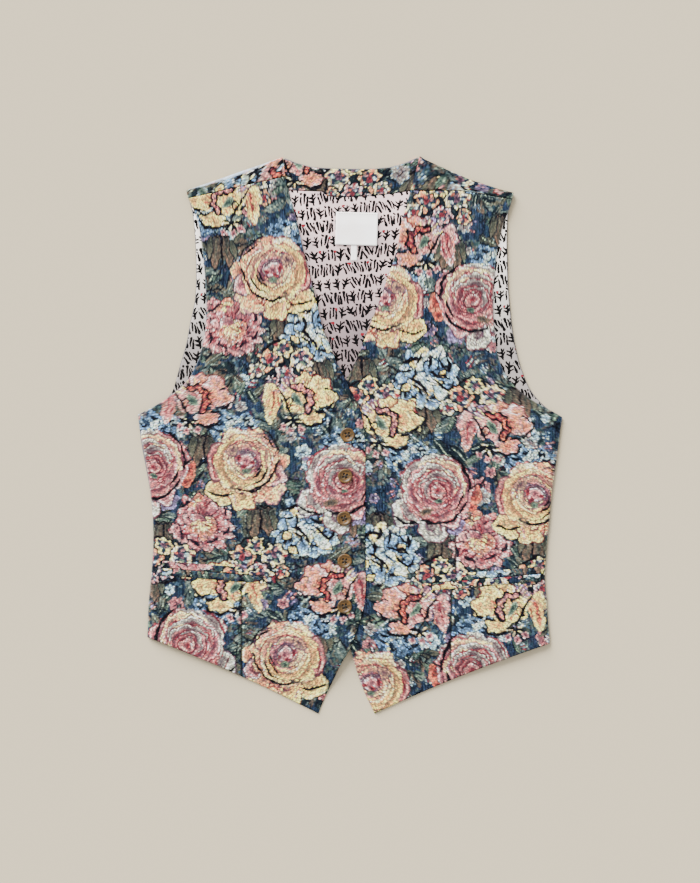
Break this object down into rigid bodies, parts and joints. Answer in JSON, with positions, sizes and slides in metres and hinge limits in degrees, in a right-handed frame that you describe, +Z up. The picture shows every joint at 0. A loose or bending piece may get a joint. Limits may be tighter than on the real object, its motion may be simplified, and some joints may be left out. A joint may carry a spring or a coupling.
{
  "type": "flowered jacquard waistcoat laid flat",
  "caption": "Buttoned V-neck waistcoat of flowered jacquard with pointed fronts, piped pockets and a printed white lining, laid flat on its back.",
  "frame": {"origin": "on the surface under the middle of the garment's outline, on the flat outside of the back", "axes": "+Z up out of the fronts, +Y from the hem points towards the neck, +X towards the wearer's left"},
  "size_m": [0.441, 0.579, 0.011],
  "materials": {
    "jacquard": "flowered jacquard, matt, fine upright ribs",
    "lining": "white lining with a printed pattern of brush marks",
    "tape": "plain white woven label and loop",
    "button": "brown, satin, with a soft rim"
  },
  "bodies": {
    "root": {"back": "jacquard", "back_lining": "lining", "back_neck_facing": "jacquard", "left_front": "jacquard", "right_front": "jacquard", "right_pocket_upper_lip": "jacquard", "right_pocket_lower_lip": "jacquard", "left_pocket_upper_lip": "jacquard", "left_pocket_lower_lip": "jacquard", "neck_label": "tape", "label_loop": "tape", "button_1": "button", "button_2": "button", "button_3": "button", "button_4": "button", "button_5": "button"}
  },
  "joints": []
}
